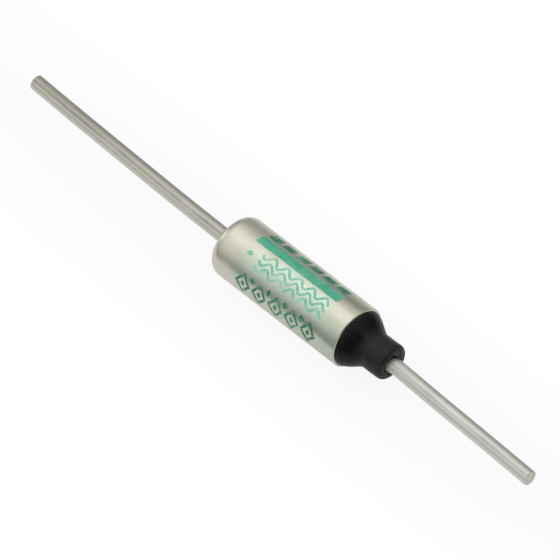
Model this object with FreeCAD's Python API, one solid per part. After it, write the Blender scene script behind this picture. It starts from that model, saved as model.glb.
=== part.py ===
import FreeCAD, Part
import math
import os

# Thermal fuse of the pellet type with a wire lead at each end.
# The fuse's axis is X, its origin is the middle of the metal case, and the sealed end points to +X.
# All sizes are in millimetres.

# Wire leads, trimmed for mounting
lead_diameter = 1.0
case_lead_length = 17.7
isolated_lead_length = 12.0
cut_chamfer = 0.06

# Case, a drawn cup whose open end is rolled in as a lip
case_length = 11.0
case_diameter = 4.2
case_wall = 0.30
closed_end_round = 0.75
rim_chamfer = 0.12
seat_step = 0.08
lip_thickness = 0.30
lip_width = 0.55

# Case lead where its tenon is riveted through the closed end
collar_thickness = 0.18
collar_overhang = 0.18
tenon_diameter = 0.66
rivet_thickness = 0.30
rivet_overhang = 0.50
rivet_chamfer = 0.10

# Pellet that melts when the fuse trips
pellet_length = 2.4
pellet_clearance = 0.10
pellet_chamfer = 0.15

# Plain discs at the two ends of the strong spring
pressure_disc_thickness = 0.25
contact_disc_thickness = 0.20
disc_clearance = 0.08
disc_chamfer = 0.05

# Strong spring, barrel-shaped
barrel_wire = 0.32
barrel_pitch = 0.95
barrel_clearance = 0.30
barrel_swell = 0.30

# Sliding contact with fingers that touch the bore
star_thickness = 0.15
star_clearance = 0.03
finger_length = 0.70
finger_bend = 0.15
finger_count = 6
finger_gap = 0.34
hub_margin = 0.05

# Weak spring round the nose of the bushing
trip_wire = 0.20
trip_pitch = 0.64
trip_clearance = 0.08

# Contact tip of the isolated lead, and the upset ring that locks the lead in the bushing
tip_thickness = 0.35
tip_overhang = 0.30
tip_chamfer = 0.10
lock_ring_length = 0.60
lock_ring_overhang = 0.20

# Ceramic bushing held under the lip
nose_length = 1.35
nose_diameter = 2.0
flange_length = 2.2
flange_clearance = 0.02
flange_chamfer = 0.20
nose_chamfer = 0.10
bushing_bore_clearance = 0.02

# Black sealing resin: a cone with an S-shaped side and a straight neck
seal_length = 3.0
cone_length = 1.50
shoulder_pull = 0.42
neck_pull = 0.46
neck_diameter = 2.4
neck_cover = 0.35
ring_cover = 0.05
neck_end_round = 0.26
lead_dish_width = 0.22
lead_dish_depth = 0.10

# Radii that follow from the sizes above
case_radius = case_diameter / 2
bore_radius = case_radius - case_wall
seat_radius = bore_radius + seat_step
lip_radius = case_radius - lip_width
lead_radius = lead_diameter / 2
tenon_radius = tenon_diameter / 2
ring_radius = lead_radius + lock_ring_overhang
nose_radius = nose_diameter / 2
neck_radius = neck_diameter / 2
bushing_neck_radius = neck_radius - neck_cover
star_radius = bore_radius - star_clearance
star_flat_radius = star_radius - star_thickness - finger_bend
trip_coil_radius = nose_radius + trip_clearance + trip_wire / 2
hub_radius = trip_coil_radius + trip_wire / 2 + hub_margin
barrel_end_radius = bore_radius - barrel_clearance - barrel_swell - barrel_wire / 2

# Faces along the axis, stacked from the closed end
closed_end = -case_length / 2
floor_face = closed_end + case_wall
pellet_start = floor_face + rivet_thickness
pellet_end = pellet_start + pellet_length
barrel_start = pellet_end + pressure_disc_thickness

# Faces along the axis, stacked back from the open end
rim = case_length / 2
lip_face = rim - lip_thickness
flange_face = lip_face - flange_length
nose_end = flange_face - nose_length
tip_face = nose_end - tip_thickness
star_back = tip_face - star_thickness
barrel_end = star_back - contact_disc_thickness
neck_end = rim + seal_length
ring_end = neck_end - lead_dish_depth - ring_cover
bushing_end = ring_end - lock_ring_length

axis = FreeCAD.Vector(1, 0, 0)
origin = FreeCAD.Vector(0, 0, 0)


def point(x, radius):
    """Point of a turned outline: its place along the axis and its distance from it."""
    return FreeCAD.Vector(x, 0, radius)


def rounded_corner(before, corner, after, radius):
    """First, middle and last point of the arc that rounds a corner of an outline."""
    back = (before - corner).normalize()
    ahead = (after - corner).normalize()
    half_angle = back.getAngle(ahead) / 2
    reach = radius / math.tan(half_angle)
    centre = corner + (back + ahead).normalize() * (radius / math.sin(half_angle))
    middle = centre + (corner - centre).normalize() * radius
    return corner + back * reach, middle, corner + ahead * reach


def outline(corners):
    """Edges of an outline given as (x, radius) or (x, radius, rounding), from its first corner to its last."""
    edges = []
    here = point(*corners[0][:2])
    for before, corner, after in zip(corners, corners[1:], corners[2:]):
        target = point(*corner[:2])
        if len(corner) == 3:
            first, middle, last = rounded_corner(point(*before[:2]), target, point(*after[:2]), corner[2])
            edges.append(Part.makeLine(here, first))
            edges.append(Part.Arc(first, middle, last).toShape())
            here = last
        else:
            edges.append(Part.makeLine(here, target))
            here = target
    edges.append(Part.makeLine(here, point(*corners[-1][:2])))
    return edges


def turned(edges):
    """Solid of revolution about the axis from the edges of a closed outline."""
    face = Part.Face(Part.Wire(edges))
    return face.revolve(origin, axis, 360)


def turned_from(corners):
    """Solid of revolution from a closed outline given by its corners."""
    return turned(outline(corners + corners[:1]))


def case_shell():
    """Drawn cup: lead hole in its closed end, a step for the bushing, and the lip rolled over it."""
    inner_round = closed_end_round - case_wall
    return turned_from([
        (closed_end, tenon_radius),
        (closed_end, case_radius, closed_end_round),
        (rim - rim_chamfer, case_radius),
        (rim, case_radius - rim_chamfer),
        (rim, lip_radius),
        (lip_face, lip_radius),
        (lip_face, seat_radius - flange_chamfer),
        (lip_face - flange_chamfer, seat_radius),
        (flange_face, seat_radius),
        (flange_face, bore_radius),
        (floor_face, bore_radius, inner_round),
        (floor_face, tenon_radius),
    ])


def case_lead():
    """Wire with a collar outside the closed end, and a tenon headed over as a rivet inside it."""
    cut = closed_end - case_lead_length
    collar_radius = lead_radius + collar_overhang
    rivet_radius = tenon_radius + rivet_overhang
    return turned_from([
        (cut, 0),
        (cut, lead_radius - cut_chamfer),
        (cut + cut_chamfer, lead_radius),
        (closed_end - collar_thickness, lead_radius),
        (closed_end - collar_thickness / 2, collar_radius),
        (closed_end, collar_radius),
        (closed_end, tenon_radius),
        (floor_face, tenon_radius),
        (floor_face, rivet_radius),
        (pellet_start - rivet_chamfer, rivet_radius),
        (pellet_start, rivet_radius - rivet_chamfer),
        (pellet_start, 0),
    ])


def chamfered_slug(start, end, radius, chamfer):
    """Short plain cylinder with both edges chamfered."""
    return turned_from([
        (start, 0),
        (start, radius - chamfer),
        (start + chamfer, radius),
        (end - chamfer, radius),
        (end, radius - chamfer),
        (end, 0),
    ])


def thermal_pellet():
    """Pressed cylinder with chamfered edges that stands on the rivet head."""
    return chamfered_slug(pellet_start, pellet_end, bore_radius - pellet_clearance, pellet_chamfer)


def pressure_disc():
    """Disc between the pellet and the strong spring."""
    return chamfered_slug(pellet_end, barrel_start, bore_radius - disc_clearance, disc_chamfer)


def contact_disc():
    """Disc between the strong spring and the sliding contact, inside the contact's fingers."""
    return chamfered_slug(barrel_end, star_back, star_flat_radius, disc_chamfer)


def ground_spring(start, end, wire, pitch, end_radius, swell):
    """Compression spring between two seats: closed turns at its ends, ground flat, and a swelling middle."""
    closed_turns = 0.75
    closed_pitch = 1.08 * wire
    inset = 0.2 * wire
    points_per_turn = 16
    section_sides = 8
    closed_rise = closed_turns * closed_pitch
    open_turns = (end - start - 2 * (inset + closed_rise)) / pitch
    turns = open_turns + 2 * closed_turns
    steps = round(turns * points_per_turn)
    route = []
    for step in range(steps + 1):
        turn = turns * step / steps
        if turn < closed_turns:
            x = start + inset + turn * closed_pitch
        elif turn > turns - closed_turns:
            x = end - inset - (turns - turn) * closed_pitch
        else:
            x = start + inset + closed_rise + (turn - closed_turns) * pitch
        radius = end_radius + swell * math.sin(math.pi * turn / turns)
        angle = 2 * math.pi * turn
        route.append(FreeCAD.Vector(x, radius * math.cos(angle), radius * math.sin(angle)))
    line = Part.BSplineCurve()
    line.interpolate(route)
    circle = Part.makeCircle(wire / 2, route[0], line.tangent(line.FirstParameter)[0])
    section = Part.makePolygon(circle.discretize(section_sides + 1))
    coil = Part.Wire(line.toShape()).makePipeShell([section], True, True)
    room = Part.makeCylinder(case_radius, end - start, FreeCAD.Vector(start, 0, 0), axis)
    return coil.common(room).Solids[0]


def barrel_spring():
    """Strong spring that the pellet keeps compressed."""
    return ground_spring(barrel_start, barrel_end, barrel_wire, barrel_pitch, barrel_end_radius, barrel_swell)


def trip_spring():
    """Weak spring that pushes the sliding contact off the isolated lead."""
    return ground_spring(tip_face, flange_face, trip_wire, trip_pitch, trip_coil_radius, 0)


def star_contact():
    """Shallow cup of thin sheet, slotted into fingers that slide in the bore."""
    cup = turned_from([
        (tip_face, 0),
        (tip_face, star_radius, finger_bend + star_thickness),
        (tip_face - finger_length, star_radius),
        (tip_face - finger_length, star_radius - star_thickness),
        (star_back, star_radius - star_thickness, finger_bend),
        (star_back, 0),
    ])
    slot_base = FreeCAD.Vector(tip_face - finger_length, 0, hub_radius + finger_gap / 2)
    slot = Part.makeCylinder(finger_gap / 2, finger_length, slot_base, axis)
    corner = slot_base - FreeCAD.Vector(0, finger_gap / 2, 0)
    slot = slot.fuse(Part.makeBox(finger_length, finger_gap, case_radius, corner))
    slots = []
    for finger in range(finger_count):
        turned_slot = slot.copy()
        turned_slot.rotate(origin, axis, finger * 360 / finger_count)
        slots.append(turned_slot)
    return cup.cut(slots).Solids[0]


def ceramic_bushing():
    """Insulator: nose inside the weak spring, flange between step and lip, neck inside the resin."""
    bore = lead_radius + bushing_bore_clearance
    flange_radius = seat_radius - flange_clearance
    return turned_from([
        (nose_end, bore),
        (nose_end, nose_radius - nose_chamfer),
        (nose_end + nose_chamfer, nose_radius),
        (flange_face, nose_radius),
        (flange_face, flange_radius),
        (lip_face - flange_chamfer, flange_radius),
        (lip_face, flange_radius - flange_chamfer),
        (lip_face, bushing_neck_radius),
        (bushing_end, bushing_neck_radius),
        (bushing_end, bore),
    ])


def isolated_lead():
    """Wire with a headed contact tip against the nose and a lock ring behind the bushing's neck."""
    cut = neck_end + isolated_lead_length
    tip_radius = lead_radius + tip_overhang
    return turned_from([
        (tip_face, 0),
        (tip_face, tip_radius - tip_chamfer),
        (tip_face + tip_chamfer, tip_radius),
        (nose_end, tip_radius),
        (nose_end, lead_radius),
        (bushing_end, lead_radius),
        (bushing_end, ring_radius),
        (ring_end, ring_radius),
        (ring_end, lead_radius),
        (cut - cut_chamfer, lead_radius),
        (cut, lead_radius - cut_chamfer),
        (cut, 0),
    ])


def sealing_resin():
    """Resin on the lip and round the bushing's neck, drawn up to the lead at its end."""
    start = point(rim, case_radius - rim_chamfer)
    neck_start = rim + cone_length
    side = Part.BezierCurve()
    side.setPoles([
        start,
        point(rim + shoulder_pull, case_radius - rim_chamfer),
        point(neck_start - neck_pull, neck_radius),
        point(neck_start, neck_radius),
    ])
    rest = outline([
        (neck_start, neck_radius),
        (neck_end, neck_radius, neck_end_round),
        (neck_end, lead_radius + lead_dish_width),
        (neck_end - lead_dish_depth, lead_radius),
        (ring_end, lead_radius),
        (ring_end, ring_radius),
        (bushing_end, ring_radius),
        (bushing_end, bushing_neck_radius),
        (lip_face, bushing_neck_radius),
        (lip_face, lip_radius),
        (rim, lip_radius),
        (rim, case_radius - rim_chamfer),
    ])
    return turned([side.toShape()] + rest)


pieces = [
    case_shell,
    case_lead,
    thermal_pellet,
    pressure_disc,
    barrel_spring,
    contact_disc,
    star_contact,
    trip_spring,
    ceramic_bushing,
    isolated_lead,
    sealing_resin,
]

os.makedirs("parts", exist_ok=True)
for piece in pieces:
    solid = piece()
    solid.exportStep(f"parts/{piece.__name__}.step")
    print(f"{piece.__name__}: {solid.Volume:.3f} mm3, valid {solid.isValid()}")
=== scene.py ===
import bmesh
import bpy
import math
from mathutils import Matrix, Vector, geometry, noise


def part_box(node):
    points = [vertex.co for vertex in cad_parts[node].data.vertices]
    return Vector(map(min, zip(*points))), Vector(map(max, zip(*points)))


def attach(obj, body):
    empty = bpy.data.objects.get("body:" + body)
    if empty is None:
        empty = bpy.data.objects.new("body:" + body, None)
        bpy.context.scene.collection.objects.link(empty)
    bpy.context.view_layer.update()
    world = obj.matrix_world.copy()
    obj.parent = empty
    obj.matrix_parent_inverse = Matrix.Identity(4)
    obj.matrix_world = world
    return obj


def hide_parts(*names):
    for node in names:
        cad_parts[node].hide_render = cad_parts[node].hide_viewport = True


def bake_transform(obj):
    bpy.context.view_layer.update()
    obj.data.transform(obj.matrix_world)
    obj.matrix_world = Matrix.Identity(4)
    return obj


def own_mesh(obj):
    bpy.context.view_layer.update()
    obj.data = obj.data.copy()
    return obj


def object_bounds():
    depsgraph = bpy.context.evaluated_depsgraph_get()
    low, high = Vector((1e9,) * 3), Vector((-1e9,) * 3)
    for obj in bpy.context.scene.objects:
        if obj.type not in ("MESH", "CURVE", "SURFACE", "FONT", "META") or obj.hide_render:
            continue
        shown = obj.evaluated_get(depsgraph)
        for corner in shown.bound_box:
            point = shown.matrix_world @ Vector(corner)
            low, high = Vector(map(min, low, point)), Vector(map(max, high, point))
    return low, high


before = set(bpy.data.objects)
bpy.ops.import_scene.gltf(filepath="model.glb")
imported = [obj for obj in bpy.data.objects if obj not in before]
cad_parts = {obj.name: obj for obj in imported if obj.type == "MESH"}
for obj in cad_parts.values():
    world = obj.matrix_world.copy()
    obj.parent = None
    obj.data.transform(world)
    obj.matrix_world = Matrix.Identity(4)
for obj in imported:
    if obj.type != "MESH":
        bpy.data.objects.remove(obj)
cad_low, cad_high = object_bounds()
mm = 0.001

# The case is a cup drawn from brass sheet, plated with silver and tumbled to a soft satin shine.
# Its closed end has a hole for the riveted lead. Its open end is rolled in over the bushing as a lip,
# and handling has left it a few shallow dents.
case_low, case_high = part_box("case_shell")
wall = 0.30 * mm
seat_step = 0.08 * mm
lip_width = 0.55 * mm
lip_thickness = 0.30 * mm
flange_length = 2.20 * mm
tenon_radius = 0.33 * mm
closed_end_round = 0.75 * mm
cup_floor_round = 0.45 * mm
rim_round = 0.12 * mm
lip_round = 0.06 * mm
rim_setback = 0.05 * mm
ink_room = 0.010 * mm
closed_end = case_low.x
rim = case_high.x - rim_setback
case_radius = case_high.z - ink_room
bore_radius = case_high.z - wall
seat_radius = bore_radius + seat_step
lip_radius = case_high.z - lip_width
lip_face = case_high.x - lip_thickness
seat_face = lip_face - flange_length
floor_face = closed_end + wall


def rounded(corners, arc_steps=10):
    """Points of an outline given by its corners (x, radius). A third number rounds that corner."""
    points = []
    for i, corner in enumerate(corners):
        here = Vector(corner[:2])
        if len(corner) < 3:
            points.append(here)
            continue
        back = (Vector(corners[i - 1][:2]) - here).normalized()
        ahead = (Vector(corners[(i + 1) % len(corners)][:2]) - here).normalized()
        half_angle = back.angle(ahead) / 2
        centre = here + (back + ahead).normalized() * (corner[2] / math.sin(half_angle))
        reach = corner[2] / math.tan(half_angle)
        first = here + back * reach - centre
        last = here + ahead * reach - centre
        for step in range(arc_steps + 1):
            arm = first.slerp(last, step / arc_steps).normalized() * corner[2]
            points.append(centre + arm)
    return points


def turned(outline, steps=192, closed=True):
    """Solid turned about the X axis. A closed outline gives a ring, and an open one ends on the axis."""
    bm = bmesh.new()
    points = [bm.verts.new((x, 0, radius)) for x, radius in outline]
    pairs = list(zip(points, points[1:]))
    if closed:
        pairs.append((points[-1], points[0]))
    edges = [bm.edges.new(pair) for pair in pairs]
    bmesh.ops.spin(
        bm,
        geom=points + edges,
        cent=(0, 0, 0),
        axis=(1, 0, 0),
        angle=math.tau,
        steps=steps,
        use_merge=True,
    )
    bmesh.ops.remove_doubles(bm, verts=bm.verts, dist=0.0001 * mm)
    bmesh.ops.recalc_face_normals(bm, faces=bm.faces)
    return bm


def stretched(outline, longest):
    """The same outline with its long straight runs cut into steps, which dents and bends then move."""
    points = []
    for here, after in zip(outline, outline[1:] + outline[:1]):
        pieces = max(1, math.ceil((after - here).length / longest))
        points += [here.lerp(after, k / pieces) for k in range(pieces)]
    return points


def angle_of(place):
    """Angle of a point about the X axis, from +Y towards +Z, in degrees from 0 to 360."""
    return math.degrees(math.atan2(place.z, place.y)) % 360


def move_out(vertex, amount):
    """Moves a vertex away from the X axis by the amount."""
    radius = math.hypot(vertex.co.y, vertex.co.z)
    if radius > 0:
        vertex.co.y *= 1 + amount / radius
        vertex.co.z *= 1 + amount / radius


def finished(bm, name, material, sharp_angle=35):
    """Mesh object from a bmesh, shaded smooth apart from the edges sharper than the angle."""
    mesh = bpy.data.meshes.new(name)
    bm.to_mesh(mesh)
    bm.free()
    mesh.polygons.foreach_set("use_smooth", [True] * len(mesh.polygons))
    mesh.set_sharp_from_angle(angle=math.radians(sharp_angle))
    mesh.materials.append(material)
    piece = bpy.data.objects.new(name, mesh)
    bpy.context.scene.collection.objects.link(piece)
    return piece


def new_finish(name, roughness, metallic=0):
    """A material and its Principled shader."""
    material = bpy.data.materials.new(name)
    material.use_nodes = True
    shader = material.node_tree.nodes["Principled BSDF"]
    shader.inputs["Metallic"].default_value = metallic
    shader.inputs["Roughness"].default_value = roughness
    return material, shader


def add_node(material, kind, inputs, **settings):
    """A node whose inputs are plain values or the outputs of other nodes."""
    made = material.node_tree.nodes.new(kind)
    for name, value in settings.items():
        setattr(made, name, value)
    for name, value in inputs.items():
        if isinstance(value, bpy.types.NodeSocket):
            material.node_tree.links.new(value, made.inputs[name])
        else:
            made.inputs[name].default_value = value
    return made


def ranged(material, value, start, stop, low, high):
    """Value from low to high as another runs from start to stop, and held beyond them."""
    return add_node(material, "ShaderNodeMapRange", {
        "Value": value,
        "From Min": start,
        "From Max": stop,
        "To Min": low,
        "To Max": high,
    }).outputs["Result"]


def grain(material, per_mm, low, high, detail=3, start=0.35, stop=0.65, place=(0, 0, 0), where=None):
    """Noise with this many grains per millimetre along X, Y and Z, as a value from low to high."""
    where = where or add_node(material, "ShaderNodeTexCoord", {}).outputs["Object"]
    scaled = add_node(material, "ShaderNodeMapping", {
        "Vector": where,
        "Location": place,
        "Scale": [count / mm for count in per_mm],
    })
    cloud = add_node(material, "ShaderNodeTexNoise", {
        "Vector": scaled.outputs["Vector"],
        "Scale": 1,
        "Detail": detail,
    })
    return ranged(material, cloud.outputs["Fac"], start, stop, low, high)


def along(material, start, end, low, high):
    """Value that runs from low to high between two places along X."""
    where = add_node(material, "ShaderNodeTexCoord", {})
    split = add_node(material, "ShaderNodeSeparateXYZ", {"Vector": where.outputs["Object"]})
    return ranged(material, split.outputs["X"], start, end, low, high)


def mixed(material, factor, first, second):
    """Colour that runs from the first to the second by the factor."""
    blend = add_node(material, "ShaderNodeMix", {"Factor": factor}, data_type="RGBA")
    sockets = [s for s in blend.inputs if s.type == "RGBA"]
    for socket, value in zip(sockets, (first, second)):
        if isinstance(value, bpy.types.NodeSocket):
            material.node_tree.links.new(value, socket)
        else:
            socket.default_value = value
    return [s for s in blend.outputs if s.type == "RGBA"][0]


def joined(material, operation, total, *others):
    """Several values added or multiplied, one after another."""
    for value in others:
        both = add_node(material, "ShaderNodeMath", {0: total, 1: value}, operation=operation)
        total = both.outputs["Value"]
    return total


def reach_towards(material, where, direction):
    """How far a place lies in a direction."""
    return add_node(material, "ShaderNodeVectorMath", {
        0: where,
        1: direction,
    }, operation="DOT_PRODUCT").outputs["Value"]


def roughen(material, shader, height, depth):
    """Bump from a height between 0 and 1 that stands for the depth."""
    bump = add_node(material, "ShaderNodeBump", {"Height": height, "Distance": depth, "Strength": 1})
    material.node_tree.links.new(bump.outputs["Normal"], shader.inputs["Normal"])


def rubbed_ink(material, degrees, edge, middle, start, end, strength):
    """Soft field at an angle on the case, between two places along X, where ink has rubbed off."""
    where = add_node(material, "ShaderNodeTexCoord", {}).outputs["Object"]
    direction = (0, math.cos(math.radians(degrees)), math.sin(math.radians(degrees)))
    fade = 1 * mm
    return joined(
        material,
        "MULTIPLY",
        ranged(material, reach_towards(material, where, direction), edge, middle, 0, strength),
        along(material, start, start + fade, 0, 1),
        along(material, end - fade, end, 1, 0),
        grain(material, (0.8, 1.1, 1.1), 0.4, 1, place=(5, 2, 8)),
    )


def plated_metal():
    """Silver plate: soft clouds of shine, faint scratches, warm tarnish, painted shade that darkens it
    towards the sealed end, and a green haze of rubbed ink.
    """
    material, shader = new_finish("silver_plate", 0.3, metallic=1)
    clean = (0.715, 0.695, 0.588, 1)
    dull = (0.585, 0.58, 0.475, 1)
    low_green = (0.50, 0.63, 0.50, 1)
    top_green = (0.56, 0.76, 0.63, 1)
    # The cloud mixes random tarnish with painted shade: the plate is painted paler towards the closed end
    # and darker towards the sealed end, standing in for the brighter light on the closed-end half.
    cloud = joined(
        material,
        "ADD",
        along(material, -4 * mm, 4 * mm, 0, 0.6),
        grain(material, (0.5, 0.7, 0.7), 0, 0.5, start=0.4, stop=0.7),
    )
    low_haze = rubbed_ink(material, 152, 1.55 * mm, 2.0 * mm, -4.0 * mm, 6.0 * mm, 0.75)
    top_haze = rubbed_ink(material, 119, 1.86 * mm, 2.03 * mm, -3.0 * mm, 4.2 * mm, 0.7)
    tarnish_and_painted_shade = mixed(material, cloud, clean, dull)
    hazed = mixed(material, low_haze, tarnish_and_painted_shade, low_green)
    tree = material.node_tree
    tree.links.new(mixed(material, top_haze, hazed, top_green), shader.inputs["Base Color"])
    shine = joined(
        material,
        "ADD",
        along(material, -4 * mm, 5 * mm, 0.33, 0.23),
        grain(material, (0.6, 0.9, 0.9), -0.04, 0.06, place=(3, 1, 2)),
    )
    tree.links.new(shine, shader.inputs["Roughness"])
    height = joined(
        material,
        "ADD",
        grain(material, (0.45, 0.8, 0.8), 0, 0.80, detail=1, start=0.2, stop=0.8),
        grain(material, (2.5, 12, 12), 0, 0.05, detail=2),
        grain(material, (12, 5, 5), 0, 0.04, detail=2, place=(1, 5, 3)),
    )
    roughen(material, shader, height, 0.010 * mm)
    return material


case_outline = rounded([
    (closed_end, tenon_radius),
    (closed_end, case_radius, closed_end_round),
    (rim, case_radius, rim_round),
    (rim, lip_radius, lip_round),
    (lip_face, lip_radius, lip_round),
    (lip_face, seat_radius),
    (seat_face, seat_radius),
    (seat_face, bore_radius),
    (floor_face, bore_radius, cup_floor_round),
    (floor_face, tenon_radius),
])
bm = turned(stretched(case_outline, longest=0.30 * mm))
ripple_depth = 0.004 * mm
dents = [
    (rim - 0.25 * mm, 152, 0.55 * mm, 0.035 * mm),
    (rim - 1.9 * mm, 158, 1.1 * mm, 0.012 * mm),
    (closed_end + 1.6 * mm, 78, 1.3 * mm, 0.015 * mm),
    (closed_end + 1.1 * mm, 168, 1.0 * mm, 0.018 * mm),
]
for vertex in bm.verts:
    radius = math.hypot(vertex.co.y, vertex.co.z)
    if radius > seat_radius:
        ripple = noise.noise(vertex.co * (0.5 / mm)) - 0.6
        move_out(vertex, ripple_depth * ripple)
        for place, angle, width, depth in dents:
            turn = (angle_of(vertex.co) - angle + 180) % 360 - 180
            around = math.radians(turn) * case_radius
            distance = math.hypot(vertex.co.x - place, around)
            move_out(vertex, -depth * math.exp(-(distance / width) ** 2))
case = finished(bm, "case", plated_metal())
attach(case, "fuse_body")
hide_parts("case_shell")

# The case lead is tinned copper wire. An upset collar stops it outside the closed end,
# and its tenon is headed over inside as a rivet. Its far end is sheared off.
lead_low, lead_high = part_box("case_lead")
collar_radius = lead_high.z
collar_length = 0.18 * mm
collar_shoulder = 0.13 * mm
lead_radius = 0.50 * mm
rivet_radius = 0.83 * mm
rivet_face = lead_high.x
cut_round = 0.05 * mm
back_and_up = Vector((0, 0.859, 0.512))


def tinned_wire(name, bright, grey, painted_dark_stripe, painted_light_tone):
    """Tinned wire: long drawing lines, a painted dark reflection as a stripe along its top-front line,
    painted light on its lower front half, and small nicks.
    """
    material, shader = new_finish(name, 0.5, metallic=1)
    kept = add_node(material, "ShaderNodeAttribute", {}, attribute_name="straight")
    straight = kept.outputs["Vector"]
    lines = grain(
        material,
        (0.03, 3.2, 3.2),
        0,
        1,
        detail=1,
        start=0.38,
        stop=0.62,
        place=(0, 0.35, 0.1),
        where=straight,
    )
    side = reach_towards(material, straight, -back_and_up)
    off_painted_stripe = add_node(material, "ShaderNodeMath", {0: side}, operation="ABSOLUTE").outputs["Value"]
    flat = add_node(material, "ShaderNodeVectorMath", {0: straight, 1: (0, 1, 1)}, operation="MULTIPLY")
    radius = add_node(material, "ShaderNodeVectorMath", {0: flat.outputs["Vector"]}, operation="LENGTH")
    outside = ranged(material, radius.outputs["Value"], 0.40 * mm, 0.47 * mm, 0, 1)
    # Painted dark reflection: a dark stripe, broken by grain, runs along the wire's top-front line and its
    # bottom-back line.
    painted_stripe_share = joined(
        material,
        "MULTIPLY",
        ranged(material, off_painted_stripe, 0.02 * mm, 0.13 * mm, 1, 0),
        grain(material, (0.5, 1, 1), 0.45, 1, where=straight),
        outside,
    )
    # Painted light: the wire's half towards the front and below is painted paler, up to 0.8 of the way to
    # the last colour.
    painted_light_share = joined(
        material,
        "MULTIPLY",
        ranged(material, side, 0.02 * mm, 0.20 * mm, 0, 0.8),
        outside,
    )
    tree = material.node_tree
    tin = mixed(material, painted_light_share, mixed(material, lines, bright, grey), painted_light_tone)
    tree.links.new(mixed(material, painted_stripe_share, tin, painted_dark_stripe), shader.inputs["Base Color"])
    shine = joined(
        material,
        "ADD",
        grain(material, (0.35, 1, 1), 0.40, 0.50, where=straight),
        grain(material, (0.1, 7, 7), -0.04, 0.06, where=straight),
    )
    tree.links.new(shine, shader.inputs["Roughness"])
    height = joined(
        material,
        "ADD",
        grain(material, (0.04, 3.2, 3.2), 0, 1, detail=2, start=0.3, stop=0.7, where=straight),
        grain(material, (0.5, 1.2, 1.2), 0, 0.5, detail=1, where=straight),
    )
    roughen(material, shader, height, 0.009 * mm)
    return material


def keep_straight(bm):
    """Keeps where each point of the straight wire is, so that its drawing lines follow a bend."""
    straight = bm.verts.layers.float_vector.new("straight")
    for vertex in bm.verts:
        vertex[straight] = vertex.co


def hand_bent(bm, fixed_end, slope, curl):
    """Bends a straight wire slightly, as handling does, and leaves what is inside the fuse in place."""
    outward = 1 if fixed_end > 0 else -1
    wobble_size = 0.03 * mm
    for vertex in bm.verts:
        away = max(0, (vertex.co.x - fixed_end) * outward)
        drift = Vector((vertex.co.x * 0.11 / mm, 0.3, 0.7))
        wobble = min(1, away / (5 * mm)) * wobble_size * noise.noise(drift)
        vertex.co += back_and_up * (slope * away + curl * away ** 2 / mm + wobble)


# The case lead's copy of the wire is painted darker than the isolated lead's, as painted shade. The dark
# stripe colour is a painted dark reflection, and the last colour is painted light on the wire's lower
# front.
shaded_copy_wire = tinned_wire(
    "tinned_wire_painted_shade",
    bright=(0.60, 0.59, 0.515, 1),
    grey=(0.43, 0.42, 0.355, 1),
    painted_dark_stripe=(0.31, 0.30, 0.25, 1),
    painted_light_tone=(0.72, 0.71, 0.63, 1),
)
case_lead_outline = rounded([
    (lead_low.x, 0),
    (lead_low.x, lead_radius, cut_round),
    (closed_end - collar_length, lead_radius),
    (closed_end - collar_shoulder, collar_radius, 0.05 * mm),
    (closed_end, collar_radius, 0.05 * mm),
    (closed_end, tenon_radius),
    (floor_face, tenon_radius),
    (floor_face, rivet_radius, 0.04 * mm),
    (rivet_face, rivet_radius, 0.12 * mm),
    (rivet_face, 0),
], arc_steps=6)
bm = turned(stretched(case_lead_outline, longest=0.4 * mm)[:-1], steps=64, closed=False)
keep_straight(bm)
hand_bent(bm, closed_end, slope=0.012, curl=0.0007)
case_lead = finished(bm, "case_lead_wire", shaded_copy_wire)
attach(case_lead, "fuse_body")
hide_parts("case_lead")

# The pellet is a pressed slug of an organic compound that melts at the rated temperature.
# It stands on the rivet head, holds both springs closed, and shrinks away when it melts.
pellet_low, pellet_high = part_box("thermal_pellet")
pellet_radius = pellet_high.z
pellet_round = 0.15 * mm


def pressed_compound():
    """Pressed powder: fine pale grains with a few darker specks."""
    material, shader = new_finish("pressed_compound", 0.8)
    pale = (0.72, 0.64, 0.42, 1)
    brown = (0.52, 0.42, 0.22, 1)
    speck = grain(material, (14, 14, 14), 0, 1, start=0.55, stop=0.75)
    colour = mixed(material, speck, pale, brown)
    material.node_tree.links.new(colour, shader.inputs["Base Color"])
    roughen(material, shader, grain(material, (20, 20, 20), 0, 1), 0.01 * mm)
    return material


pellet_outline = rounded([
    (pellet_low.x, 0),
    (pellet_low.x, pellet_radius, pellet_round),
    (pellet_high.x, pellet_radius, pellet_round),
    (pellet_high.x, 0),
], arc_steps=5)
bm = turned(pellet_outline, steps=96, closed=False)
pellet = finished(bm, "pellet", pressed_compound())
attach(pellet, "fuse_body")
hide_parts("thermal_pellet")
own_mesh(pellet)

# Two plain discs of half-hard brass strip are blanked by a press. One spreads the strong
# spring's force over the pellet, and the other spreads it over the hub of the sliding contact.


def rolled_brass():
    """Brass strip with rolling lines and a thin brown film."""
    material, shader = new_finish("rolled_brass", 0.35, metallic=1)
    yellow = (0.78, 0.57, 0.29, 1)
    brown = (0.5, 0.33, 0.16, 1)
    film = grain(material, (1, 1, 1), 0, 1, start=0.45, stop=0.8)
    colour = mixed(material, film, yellow, brown)
    material.node_tree.links.new(colour, shader.inputs["Base Color"])
    roughen(material, shader, grain(material, (12, 25, 1), 0, 1), 0.004 * mm)
    return material


def dress(node, material):
    """Gives a CAD node its material."""
    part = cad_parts[node]
    if not part.material_slots:
        part.data.materials.append(material)
    for holder in part.material_slots:
        holder.material = material


disc_brass = rolled_brass()
dress("pressure_disc", disc_brass)
dress("contact_disc", disc_brass)

# The strong spring is barrel-shaped, coiled from hard steel wire with its end turns closed and
# ground. It pushes the pressure disc onto the pellet and the contact onto the isolated lead's tip.
strong_low, strong_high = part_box("barrel_spring")


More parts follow.
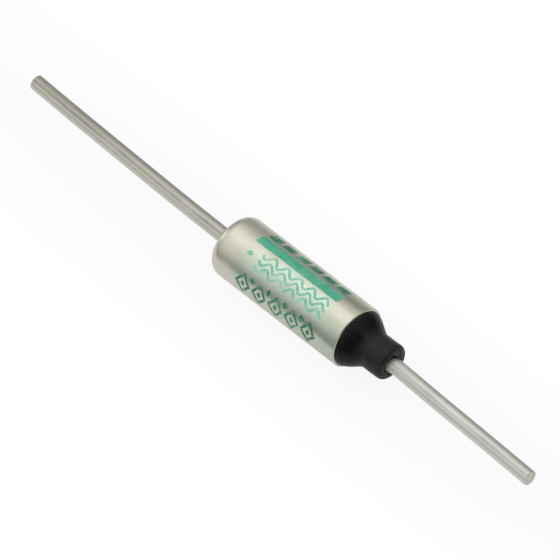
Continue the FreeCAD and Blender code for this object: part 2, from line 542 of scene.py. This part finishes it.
def spring_wire():
    """Hard drawn steel wire, grey, with a light oil shine."""
    material, shader = new_finish("spring_wire", 0.3, metallic=1)
    grey = (0.5, 0.5, 0.5, 1)
    dark = (0.33, 0.33, 0.34, 1)
    streak = grain(material, (6, 6, 6), 0, 1)
    colour = mixed(material, streak, grey, dark)
    material.node_tree.links.new(colour, shader.inputs["Base Color"])
    roughen(material, shader, grain(material, (16, 16, 16), 0, 1), 0.003 * mm)
    return material


def coiled(name, start, end, wire, pitch, end_radius, swell, material):
    """Spring between two seats: closed turns at its ends, ground flat, and a swelling middle."""
    closed_turns = 0.75
    closed_pitch = 1.08 * wire
    inset = 0.2 * wire
    closed_rise = closed_turns * closed_pitch
    turns = (end - start - 2 * (inset + closed_rise)) / pitch + 2 * closed_turns
    steps_a_turn = 40
    steps = round(turns * steps_a_turn)
    route = bpy.data.curves.new(name + "_route", "CURVE")
    route.dimensions = "3D"
    route.bevel_depth = wire / 2
    route.bevel_resolution = 4
    route.use_fill_caps = True
    line = route.splines.new("POLY")
    line.points.add(steps)
    for step, spot in enumerate(line.points):
        turn = turns * step / steps
        if turn < closed_turns:
            x = start + inset + turn * closed_pitch
        elif turn > turns - closed_turns:
            x = end - inset - (turns - turn) * closed_pitch
        else:
            x = start + inset + closed_rise + (turn - closed_turns) * pitch
        radius = end_radius + swell * math.sin(math.pi * turn / turns)
        angle = math.tau * turn
        spot.co = (x, radius * math.cos(angle), radius * math.sin(angle), 1)
    holder = bpy.data.objects.new(name + "_route", route)
    bm = bmesh.new()
    bm.from_mesh(bpy.data.meshes.new_from_object(holder))
    bpy.data.objects.remove(holder)
    bmesh.ops.remove_doubles(bm, verts=bm.verts, dist=0.0001 * mm)
    for place, side in ((start, -1), (end, 1)):
        bmesh.ops.bisect_plane(
            bm,
            geom=bm.verts[:] + bm.edges[:] + bm.faces[:],
            plane_co=(place, 0, 0),
            plane_no=(side, 0, 0),
            clear_outer=True,
        )
        bmesh.ops.holes_fill(bm, edges=[e for e in bm.edges if e.is_boundary])
    bmesh.ops.triangulate(bm, faces=[f for f in bm.faces if len(f.verts) > 4])
    bmesh.ops.recalc_face_normals(bm, faces=bm.faces)
    return finished(bm, name, material, sharp_angle=50)


steel_wire = spring_wire()
strong_spring = coiled(
    "strong_spring",
    strong_low.x,
    strong_high.x,
    wire=0.32 * mm,
    pitch=0.95 * mm,
    end_radius=1.04 * mm,
    swell=0.30 * mm,
    material=steel_wire,
)
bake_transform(strong_spring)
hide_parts("barrel_spring")

# The sliding contact is a cup of silver alloy sheet, slotted into six fingers that rub in the bore.
# The weak spring round the bushing's nose pushes it off the lead's tip once the pellet has melted.


def contact_silver():
    """Silver alloy sheet, bright, with faint rubbing marks along the axis."""
    material, shader = new_finish("contact_silver", 0.22, metallic=1)
    bright = (0.88, 0.87, 0.82, 1)
    dull = (0.68, 0.66, 0.6, 1)
    rub = grain(material, (0.6, 12, 12), 0, 1)
    colour = mixed(material, rub, bright, dull)
    material.node_tree.links.new(colour, shader.inputs["Base Color"])
    roughen(material, shader, grain(material, (2, 20, 20), 0, 1), 0.003 * mm)
    return material


dress("star_contact", contact_silver())
weak_low, weak_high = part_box("trip_spring")
weak_spring = coiled(
    "weak_spring",
    weak_low.x,
    weak_high.x,
    wire=0.20 * mm,
    pitch=0.64 * mm,
    end_radius=1.18 * mm,
    swell=0,
    material=steel_wire,
)
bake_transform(weak_spring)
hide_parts("trip_spring")

# The bushing is pressed and fired alumina ceramic. Its flange sits on the step in the case
# and is held by the lip, and it keeps the isolated lead clear of the case.


def fired_ceramic():
    """Fired white ceramic with a fine dry grain."""
    material, shader = new_finish("fired_ceramic", 0.6)
    white = (0.84, 0.82, 0.77, 1)
    cream = (0.72, 0.69, 0.62, 1)
    speck = grain(material, (9, 9, 9), 0, 1)
    colour = mixed(material, speck, white, cream)
    material.node_tree.links.new(colour, shader.inputs["Base Color"])
    roughen(material, shader, grain(material, (22, 22, 22), 0, 1), 0.005 * mm)
    return material


dress("ceramic_bushing", fired_ceramic())

# The isolated lead is the same tinned wire, in a paler copy of its material that is painted light.
# Its tip is headed as the fixed contact, and a ring upset behind the bushing's neck keeps it from being
# pulled out.
far_low, far_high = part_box("isolated_lead")
tip_radius = 0.80 * mm
tip_thickness = 0.35 * mm
tip_round = 0.10 * mm
lock_radius = 0.70 * mm
lock_length = 0.60 * mm
nose_face = far_low.x + tip_thickness
bushing_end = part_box("ceramic_bushing")[1].x
lock_end = bushing_end + lock_length
neck_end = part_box("sealing_resin")[1].x
neck_lean = 0.08 * mm
isolated_outline = rounded([
    (far_low.x, 0),
    (far_low.x, tip_radius, tip_round),
    (nose_face, tip_radius, 0.05 * mm),
    (nose_face, lead_radius),
    (bushing_end, lead_radius),
    (bushing_end, lock_radius),
    (lock_end, lock_radius),
    (lock_end, lead_radius),
    (far_high.x, lead_radius, cut_round),
    (far_high.x, 0),
], arc_steps=6)


def leaning(vertices, first_x, last_x):
    """Leans what stands past the first place to the back, more and more up to the last place."""
    for vertex in vertices:
        share = min(1, max(0, (vertex.co.x - first_x) / (last_x - first_x)))
        vertex.co += back_and_up * neck_lean * share


bm = turned(stretched(isolated_outline, longest=0.4 * mm)[:-1], steps=64, closed=False)
keep_straight(bm)
leaning(bm.verts, lock_end, neck_end)
hand_bent(bm, neck_end, slope=-0.036, curl=0)
# The isolated lead's copy of the wire is painted paler, as painted light. The dark stripe colour is a
# painted dark reflection, and the last colour is painted light on the wire's lower front.
lit_copy_wire = tinned_wire(
    "tinned_wire_painted_light",
    bright=(0.71, 0.70, 0.645, 1),
    grey=(0.56, 0.55, 0.50, 1),
    painted_dark_stripe=(0.46, 0.45, 0.41, 1),
    painted_light_tone=(0.78, 0.77, 0.715, 1),
)
isolated_lead = finished(bm, "isolated_lead_wire", lit_copy_wire)
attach(isolated_lead, "fuse_body")
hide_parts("isolated_lead")

# The seal is black epoxy resin, cast on the lip and round the bushing's neck while the fuse stands
# upright. It sags into an S-shaped cone that covers the lip, and ends in a dish round the lead.
neck_radius = 1.215 * mm
neck_tip = neck_end - 0.04 * mm
neck_start = case_high.x + 1.50 * mm
neck_flare = 0.03 * mm
neck_round = 0.34 * mm
seal_edge = case_radius - 0.13 * mm
seal_foot = rim - 0.03 * mm
sag = 0.46 * mm
dish_depth = 0.16 * mm
dish_radius = lead_radius + 0.24 * mm
dish_round = 0.10 * mm
bushing_neck_radius = 0.85 * mm
skin_radius = 0.9 * mm
lump_depth = 0.035 * mm


def cast_resin():
    """Black resin: a deep black cone whose edge at the rim is painted brown as a painted reflection of the
    metal lip, shallow sags, and a neck that is greyer towards its end.
    """
    material, shader = new_finish("cast_resin", 0.42)
    shader.inputs["Specular IOR Level"].default_value = 0.16
    deep_black = (0.0008, 0.0008, 0.0008, 1)
    dusty_black = (0.002, 0.002, 0.002, 1)
    grey = (0.021, 0.021, 0.021, 1)
    brown = (0.008, 0.007, 0.003, 1)
    dust = grain(material, (5, 5, 5), 0, 1, detail=4, start=0.5, stop=0.8)
    black = mixed(material, dust, deep_black, dusty_black)
    # The cast colour turns greyer from 0.9 mm past the rim up to the start of the neck.
    towards_neck = along(material, rim + 0.9 * mm, neck_start, 0, 1)
    cast = mixed(material, towards_neck, black, grey)
    # Painted reflection: the first 0.45 mm of the cone from the rim is painted brown in place of the warm
    # reflection of the metal lip.
    edge = along(material, rim, rim + 0.45 * mm, 1, 0)
    tree = material.node_tree
    tree.links.new(mixed(material, edge, cast, brown), shader.inputs["Base Color"])
    tree.links.new(grain(material, (1.6, 1.6, 1.6), 0.27, 0.38), shader.inputs["Roughness"])
    height = joined(
        material,
        "ADD",
        grain(material, (1.4, 1.4, 1.4), 0, 0.8, detail=1),
        grain(material, (9, 9, 9), 0, 0.15, detail=3),
    )
    roughen(material, shader, height, 0.022 * mm)
    return material


side = geometry.interpolate_bezier(
    Vector((seal_foot, seal_edge)),
    Vector((rim + sag, seal_edge)),
    Vector((neck_start - sag, neck_radius)),
    Vector((neck_start, neck_radius)),
    24,
)
neck = rounded([
    side[-1],
    (neck_tip, neck_radius + neck_flare, neck_round),
    (neck_tip, dish_radius, dish_round),
    (neck_tip - dish_depth, lead_radius),
    (lock_end, lead_radius),
    (lock_end, lock_radius),
    (bushing_end, lock_radius),
    (bushing_end, bushing_neck_radius),
    (lip_face, bushing_neck_radius),
    (lip_face, lip_radius),
    (rim, lip_radius),
])[1:]
bm = turned(stretched([Vector(p) for p in side] + neck, longest=0.15 * mm))
for vertex in bm.verts:
    radius = math.hypot(vertex.co.y, vertex.co.z)
    if vertex.co.x > rim + 0.01 * mm and radius > skin_radius:
        climb = (vertex.co.x - rim) / (neck_end - rim)
        lump = noise.noise(vertex.co * (0.55 / mm)) + 0.4 * noise.noise(vertex.co * (1.5 / mm))
        move_out(vertex, lump_depth * lump * min(1, climb / 0.1))
skin = [v for v in bm.verts if math.hypot(v.co.y, v.co.z) > skin_radius]
lining = [v for v in bm.verts if math.hypot(v.co.y, v.co.z) <= skin_radius]
leaning(skin, rim, neck_start)
leaning(lining, lock_end, neck_end)
seal = finished(bm, "seal", cast_resin())
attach(seal, "fuse_body")
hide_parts("sealing_resin")

# The print is a thin film of green ink rolled onto the case: a solid band, a row of blocks beside
# it, three waves and a dot, and two rows of lozenges. They are plain shapes that say nothing.
ink_depth = 0.008 * mm
ink_sink = 0.003 * mm
print_start = -3.15 * mm
print_end = 3.85 * mm
uneven = 0.05 * mm
uneven_per_mm = 2.6


def screen_colour(red, green, blue):
    """Linear colour with full alpha from the 0 to 255 values that a screen shows."""
    def linear(value):
        value /= 255
        return value / 12.92 if value <= 0.04045 else ((value + 0.055) / 1.055) ** 2.4
    return linear(red), linear(green), linear(blue), 1


def printing_ink(name, full, thin, wear):
    """Rolled ink whose film is thinner and paler in patches, and worn to the metal in small spots."""
    material, shader = new_finish(name, 0.45)
    patch = joined(
        material,
        "ADD",
        grain(material, (1.1, 1.1, 1.1), 0, 0.8, start=0.45, stop=0.65),
        grain(material, (5, 5, 5), 0, 0.2, start=0.45, stop=0.7),
    )
    bare_metal = (0.62, 0.63, 0.55, 1)
    worn = grain(material, (3, 4, 4), 0, wear, detail=4, start=0.52, stop=0.7, place=(2, 7, 4))
    colour = mixed(material, worn, mixed(material, patch, full, thin), bare_metal)
    material.node_tree.links.new(colour, shader.inputs["Base Color"])
    material.node_tree.links.new(worn, shader.inputs["Metallic"])
    roughen(material, shader, grain(material, (12, 12, 12), 0, 1), 0.004 * mm)
    return material


def on_case(degrees):
    """Distance round the case from +Y to an angle."""
    return math.radians(degrees) * case_radius


def flat_shape(bm, sides, width, height, x, y, stroke=None):
    """Even-sided flat shape on the unrolled case, filled, or only its edge where a stroke is given."""
    made = bmesh.ops.create_circle(
        bm,
        cap_ends=True,
        segments=sides,
        radius=1,
        matrix=Matrix.Translation((x, y, 0)) @ Matrix.Diagonal((width / 2, height / 2, 1, 1)),
    )
    if stroke:
        face = made["verts"][0].link_faces[0]
        bmesh.ops.inset_region(
            bm,
            faces=[face],
            thickness=stroke,
            use_boundary=True,
            use_even_offset=True,
        )
        bmesh.ops.delete(bm, geom=[face], context="FACES_ONLY")


def flat_bar(bm, start, end, low, high):
    """Flat bar on the unrolled case with slanted ends."""
    middle = Vector(((start + end) / 2, (low + high) / 2, 0))
    lean = Matrix.Identity(4)
    lean[0][1] = -0.25
    size = Matrix.Diagonal((end - start, high - low, 1, 1))
    bmesh.ops.create_grid(
        bm,
        x_segments=1,
        y_segments=1,
        size=0.5,
        matrix=Matrix.Translation(middle) @ lean @ size,
    )


def flat_wave(bm, start, end, middle, height, length, stroke):
    """Flat wavy line on the unrolled case: a straight strip bent to a sine."""
    step = 0.06 * mm
    size = Matrix.Diagonal((end - start, stroke, 1, 1))
    strip = bmesh.ops.create_grid(
        bm,
        x_segments=round((end - start) / step),
        y_segments=1,
        size=0.5,
        matrix=Matrix.Translation(((start + end) / 2, 0, 0)) @ size,
    )
    for vertex in strip["verts"]:
        phase = math.tau * (vertex.co.x - start) / length
        slope = math.tau * height / 2 / length * math.cos(phase)
        across = Vector((-slope, 1, 0)).normalized() * vertex.co.y
        vertex.co = Vector((vertex.co.x, middle + height / 2 * math.sin(phase), 0)) + across


def rolled_on(bm, name, material):
    """Gives flat shapes the film's depth and wraps them round the case."""
    bmesh.ops.recalc_face_normals(bm, faces=bm.faces)
    grown = bmesh.ops.extrude_face_region(bm, geom=bm.faces[:], use_keep_orig=True)
    raised = [v for v in grown["geom"] if isinstance(v, bmesh.types.BMVert)]
    bmesh.ops.translate(bm, verts=raised, vec=(0, 0, ink_depth))
    for axis, step in ((Vector((1, 0, 0)), 0.2 * mm), (Vector((0, 1, 0)), 0.07 * mm)):
        lowest = min(v.co.dot(axis) for v in bm.verts)
        highest = max(v.co.dot(axis) for v in bm.verts)
        for k in range(1, math.ceil((highest - lowest) / step)):
            bmesh.ops.bisect_plane(
                bm,
                geom=bm.verts[:] + bm.edges[:] + bm.faces[:],
                plane_co=axis * (lowest + k * step),
                plane_no=axis,
            )
    bmesh.ops.remove_doubles(bm, verts=bm.verts, dist=0.0005 * mm)
    for vertex in bm.verts:
        spot = Vector((vertex.co.x, vertex.co.y, 0)) * (uneven_per_mm / mm)
        vertex.co.x += uneven * noise.noise(spot)
        vertex.co.y += uneven * noise.noise(spot + Vector((0, 0, 9)))
        angle = vertex.co.y / case_radius
        radius = case_radius - ink_sink + vertex.co.z
        vertex.co = (vertex.co.x, radius * math.cos(angle), radius * math.sin(angle))
    bmesh.ops.triangulate(bm, faces=[f for f in bm.faces if len(f.verts) > 4])
    bmesh.ops.recalc_face_normals(bm, faces=bm.faces)
    piece = finished(bm, name, material)
    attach(piece, "fuse_body")


green = screen_colour(68, 178, 142)
thin_green = screen_colour(102, 198, 166)
mint = screen_colour(116, 206, 172)
thin_mint = screen_colour(184, 232, 212)
dark_green = screen_colour(42, 124, 92)
thin_dark_green = screen_colour(92, 174, 140)
green_ink = printing_ink("green_ink", green, thin_green, wear=0.15)
mint_ink = printing_ink("mint_ink", mint, thin_mint, wear=0.4)
dark_ink = printing_ink("dark_green_ink", dark_green, thin_dark_green, wear=0.5)
block_ink = printing_ink("block_green_ink", dark_green, thin_dark_green, wear=0.15)

bm = bmesh.new()
flat_bar(bm, print_start, print_end, on_case(75.5), on_case(93.5))
rolled_on(bm, "print_band", green_ink)

block_length = 0.85 * mm
bm = bmesh.new()
for k in range(6):
    x = print_start + (0.25 + 1.15 * k) * mm
    flat_bar(bm, x, x + block_length, on_case(54), on_case(69))
rolled_on(bm, "print_blocks", block_ink)

dot_size = 0.36 * mm
bm = bmesh.new()
for lift in (-0.45, 0, 0.45):
    flat_wave(
        bm,
        print_start + 1.1 * mm,
        print_end - 0.25 * mm,
        middle=on_case(117.5) + lift * mm,
        height=0.42 * mm,
        length=1.1 * mm,
        stroke=0.16 * mm,
    )
flat_shape(bm, 24, dot_size, dot_size, print_start + 0.3 * mm, on_case(117))
rolled_on(bm, "print_waves", mint_ink)

bm = bmesh.new()
for k in range(5):
    x = print_start + (0.75 + 1.4 * k) * mm
    flat_shape(bm, 4, 1.3 * mm, 1.6 * mm, x, on_case(171), stroke=0.17 * mm)
    flat_shape(bm, 4, 0.36 * mm, 0.46 * mm, x, on_case(171))
for k in range(4):
    x = print_start + (1.45 + 1.4 * k) * mm
    flat_shape(bm, 4, 0.42 * mm, 0.54 * mm, x, on_case(154))
rolled_on(bm, "print_lozenges", dark_ink)

# The floor is a small sheet of plain white paper that touches the case. It shows white to the
# camera, pale in the metal and white through glass, and keeps the fuse's soft shadow.
floor_height = cad_low.z
floor_length = 0.16
floor_near = -0.009
floor_far = 0.020
mirror_share = 0.32
shadow_share = 0.90


def white_sheet():
    """White paper that fades into the white surroundings away from the part."""
    material = bpy.data.materials.new("white_sheet")
    material.use_nodes = True
    tree = material.node_tree
    tree.nodes.clear()
    paper = add_node(material, "ShaderNodeBsdfDiffuse", {"Color": (0.86, 0.86, 0.855, 1)})
    plain = add_node(material, "ShaderNodeEmission", {"Color": (1, 1, 1, 1), "Strength": 1})
    path = add_node(material, "ShaderNodeLightPath", {})
    where = add_node(material, "ShaderNodeTexCoord", {})
    flat = add_node(material, "ShaderNodeVectorMath", {
        0: where.outputs["Object"],
        1: (2 / floor_length, 1 / abs(floor_near), 0),
    }, operation="MULTIPLY")
    reach = add_node(material, "ShaderNodeVectorMath", {0: flat.outputs["Vector"]}, operation="LENGTH")
    near = ranged(material, reach.outputs["Value"], 0.35, 0.95, shadow_share, 1)
    seen = joined(
        material,
        "ADD",
        joined(material, "MULTIPLY", path.outputs["Is Camera Ray"], near),
        joined(material, "MULTIPLY", path.outputs["Is Glossy Ray"], mirror_share),
        joined(material, "MULTIPLY", path.outputs["Is Transmission Ray"], near),
    )
    both = add_node(material, "ShaderNodeMixShader", {
        "Fac": seen,
        1: paper.outputs["BSDF"],
        2: plain.outputs["Emission"],
    })
    add_node(material, "ShaderNodeOutputMaterial", {"Surface": both.outputs["Shader"]})
    return material


floor_size = Matrix.Diagonal((floor_length, floor_far - floor_near, 1, 1))
floor_place = Matrix.Translation((0, (floor_near + floor_far) / 2, floor_height))
bm = bmesh.new()
bmesh.ops.create_grid(bm, x_segments=1, y_segments=1, size=0.5, matrix=floor_place @ floor_size)
floor = finished(bm, "floor", white_sheet())

# The studio is a soft dome, brighter overhead and dim near the horizon and by the sealed end. It is
# plain white where the camera sees it. One large lamp hangs above the part and a small one by each end.
world = bpy.data.worlds.new("studio")
bpy.context.scene.world = world
world.use_nodes = True
world.node_tree.nodes.clear()
overhead = Vector((0, -0.26, 0.966))
direction = add_node(world, "ShaderNodeTexCoord", {})
dark_side = Vector((0.93, -0.20, 0.30))
height = reach_towards(world, direction.outputs["Generated"], overhead)
dome = add_node(world, "ShaderNodeValToRGB", {"Fac": ranged(world, height, -1, 1, 0, 1)})
levels = [
    (0.20, 0.62),
    (0.40, 0.50),
    (0.525, 0.30),
    (0.60, 0.37),
    (0.68, 0.52),
    (0.75, 0.70),
    (0.85, 0.84),
    (0.93, 1.0),
]
ramp = dome.color_ramp.elements
while len(ramp) < len(levels):
    ramp.new(0.5)
for stop, (place, level) in zip(ramp, levels):
    stop.position = place
    stop.color = (level, level, level, 1)
facing = reach_towards(world, direction.outputs["Generated"], dark_side)
soft = add_node(world, "ShaderNodeBackground", {
    "Color": dome.outputs["Color"],
    "Strength": ranged(world, facing, 0.70, 0.92, 1, 0.2),
})
white = add_node(world, "ShaderNodeBackground", {"Color": (1, 1, 1, 1), "Strength": 1})
path = add_node(world, "ShaderNodeLightPath", {})
either = add_node(world, "ShaderNodeMixShader", {
    "Fac": path.outputs["Is Camera Ray"],
    1: soft.outputs["Background"],
    2: white.outputs["Background"],
})
add_node(world, "ShaderNodeOutputWorld", {"Surface": either.outputs["Shader"]})


def softbox(name, towards, distance, width, height, level):
    """Rectangular lamp that faces the part. A level of 1 is as bright as white paper."""
    lamp = bpy.data.lights.new(name, "AREA")
    lamp.shape = "RECTANGLE"
    lamp.size = width
    lamp.size_y = height
    lamp.energy = level * math.pi * width * height
    holder = bpy.data.objects.new(name, lamp)
    holder.location = Vector(towards).normalized() * distance
    holder.rotation_mode = "QUATERNION"
    holder.rotation_quaternion = Vector(towards).to_track_quat("Z", "Y")
    bpy.context.scene.collection.objects.link(holder)


lamp_distance = 0.30
softbox("overhead_lamp", (-0.40, 0.02, 0.9), lamp_distance, 0.22, 0.16, level=0.25)
softbox("sealed_end_lamp", (0.56, 0.03, 0.83), lamp_distance, 0.07, 0.05, level=3.5)
softbox("closed_end_lamp", (-0.98, -0.11, 0.18), lamp_distance, 0.09, 0.07, level=2.5)

# The camera stands high on the sealed end's side with a long lens, so that the fuse lies across
# the picture from its upper left to its lower right, as in the photograph.
lens = 700
sensor = 36
view_width = 34.08 * mm
aim_up = 0.601 * mm
aim_left = 0.866 * mm
azimuth = math.radians(45.6)
elevation = math.radians(48.93)
right = Vector((math.cos(azimuth), math.sin(azimuth), 0))
upward = Vector((
    -math.sin(azimuth) * math.sin(elevation),
    math.cos(azimuth) * math.sin(elevation),
    math.cos(elevation),
))
look = Vector((
    -math.sin(azimuth) * math.cos(elevation),
    math.cos(azimuth) * math.cos(elevation),
    -math.sin(elevation),
))
aim = upward * aim_up - right * aim_left
camera_data = bpy.data.cameras.new("camera")
camera_data.lens = lens
camera_data.sensor_width = sensor
camera_data.clip_start = 0.01
camera_data.clip_end = 10
camera = bpy.data.objects.new("camera", camera_data)
camera.location = aim - look * (view_width * lens / sensor)
camera.rotation_mode = "QUATERNION"
camera.rotation_quaternion = look.to_track_quat("-Z", "Y")
bpy.context.scene.collection.objects.link(camera)
bpy.context.scene.camera = camera
bpy.context.scene.view_settings.view_transform = "Standard"
